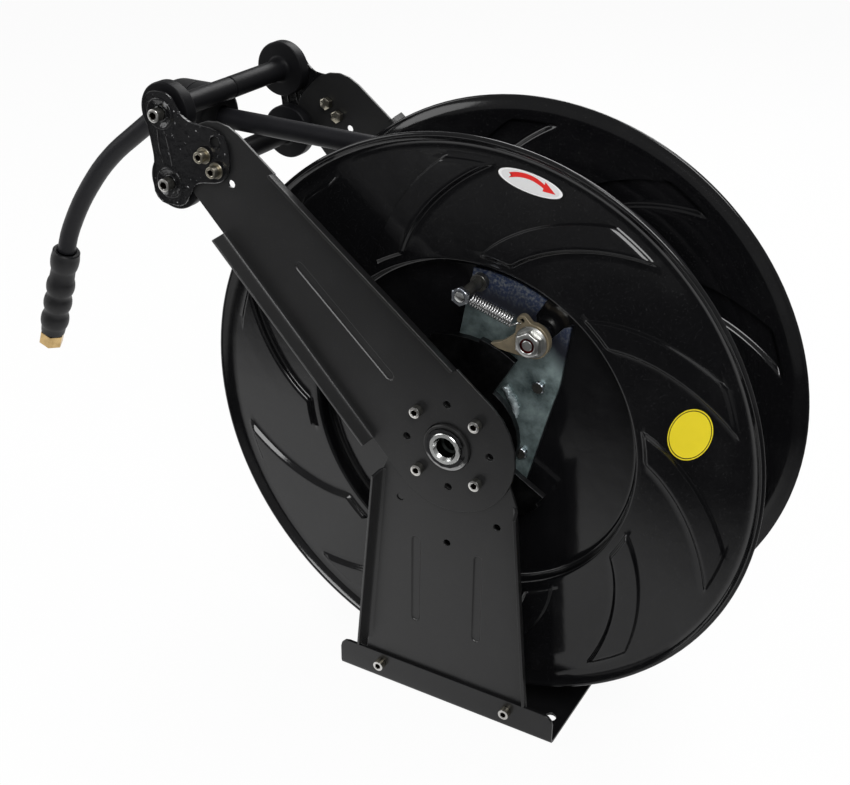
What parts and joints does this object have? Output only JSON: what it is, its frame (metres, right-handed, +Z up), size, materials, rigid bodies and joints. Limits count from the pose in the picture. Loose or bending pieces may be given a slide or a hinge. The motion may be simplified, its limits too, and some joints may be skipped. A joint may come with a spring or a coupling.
{
  "type": "retractable hose reel",
  "caption": "Spring-driven hose reel with dished twin-disc drum, ratchet pawl, roller hose guide and a rubber hose on a two-arm pedestal frame.",
  "frame": {"origin": "centre of the base plate's underside, which is the face that is bolted down", "axes": "+Z up; +Y along the drum's axle from the inlet side to the spring side; the guide arm and the hose go to -X"},
  "size_m": [0.7904, 0.2056, 0.5282],
  "materials": {
    "black_paint": "semi-gloss black powder coat",
    "black_steel": "blackened steel, satin",
    "zinc": "bright zinc plate",
    "yellow_zinc": "yellow chromated zinc plate",
    "spring_steel": "bright drawn wire",
    "rubber": "smooth satin black",
    "nylon": "moulded satin black"
  },
  "bodies": {
    "frame": {"base_plate": "black_paint", "front_post": "black_paint", "rear_post": "black_paint", "front_arm": "black_paint", "rear_arm": "black_paint", "front_guide_bracket": "black_paint", "rear_guide_bracket": "black_paint", "front_hub": "black_paint", "rear_hub": "black_paint", "front_base_screw_left": "black_steel", "front_base_screw_right": "black_steel", "front_bracket_bolt_outer": "black_steel", "front_bracket_bolt_inner": "black_steel", "front_hub_screw_1": "black_steel", "front_hub_screw_2": "black_steel", "front_hub_screw_3": "black_steel", "front_hub_screw_4": "black_steel", "rear_base_screw_left": "black_steel", "rear_base_screw_right": "black_steel", "rear_bracket_bolt_outer": "black_steel", "rear_bracket_bolt_inner": "black_steel", "rear_hub_screw_1": "black_steel", "rear_hub_screw_2": "black_steel", "rear_hub_screw_3": "black_steel", "rear_hub_screw_4": "black_steel", "axle_shaft": "black_steel", "inlet_fitting": "zinc", "inlet_collar": "black_steel", "inlet_snap_ring": "black_steel", "axle_end_cap": "black_steel", "ratchet_plate": "black_steel", "upper_roller_bolt": "black_steel", "upper_roller_nut": "zinc", "lower_roller_bolt": "black_steel", "lower_roller_nut": "zinc", "hose_run": "rubber", "hose_stop": "rubber", "hose_tail": "rubber", "hose_grip": "rubber", "hose_nut": "yellow_zinc"},
    "drum": {"front_disc": "black_paint", "rear_disc": "black_paint", "drum_barrel": "black_paint", "drum_hub": "black_steel", "spring_canister": "black_paint", "pawl_carrier": "zinc", "carrier_bolt_upper": "zinc", "carrier_bolt_lower": "zinc", "pawl_bolt": "yellow_zinc", "spring_post": "zinc", "spring_post_nut": "zinc", "pawl_spring": "spring_steel", "hose_core": "rubber", "hose_winding": "rubber"},
    "pawl": {"pawl": "yellow_zinc"},
    "upper_front_guide_roller": {"upper_front_roller": "nylon"},
    "upper_rear_guide_roller": {"upper_rear_roller": "nylon"},
    "lower_front_guide_roller": {"lower_front_roller": "nylon"},
    "lower_rear_guide_roller": {"lower_rear_roller": "nylon"}
  },
  "joints": [
    {"name": "drum_spin", "type": "hinge", "parent": "frame", "child": "drum", "pos_m": [0, 0, 0.27], "axis": [0, 1, 0], "continuous": true},
    {"name": "pawl_pivot", "type": "hinge", "parent": "drum", "child": "pawl", "pos_m": [0.0555, 0, 0.365], "axis": [0, 1, 0], "range_deg": [0, 22], "stiffness_Nm_per_rad": 0.4, "springref_deg": -11.46, "deforming": ["pawl_spring"]},
    {"name": "upper_front_roller_spin", "type": "hinge", "parent": "frame", "child": "upper_front_guide_roller", "pos_m": [-0.26954, 0, 0.50368], "axis": [0, 1, 0], "continuous": true},
    {"name": "upper_rear_roller_spin", "type": "hinge", "parent": "frame", "child": "upper_rear_guide_roller", "pos_m": [-0.26954, 0, 0.50368], "axis": [0, 1, 0], "continuous": true},
    {"name": "lower_front_roller_spin", "type": "hinge", "parent": "frame", "child": "lower_front_guide_roller", "pos_m": [-0.26504, 0, 0.44598], "axis": [0, 1, 0], "continuous": true},
    {"name": "lower_rear_roller_spin", "type": "hinge", "parent": "frame", "child": "lower_rear_guide_roller", "pos_m": [-0.26504, 0, 0.44598], "axis": [0, 1, 0], "continuous": true}
  ]
}
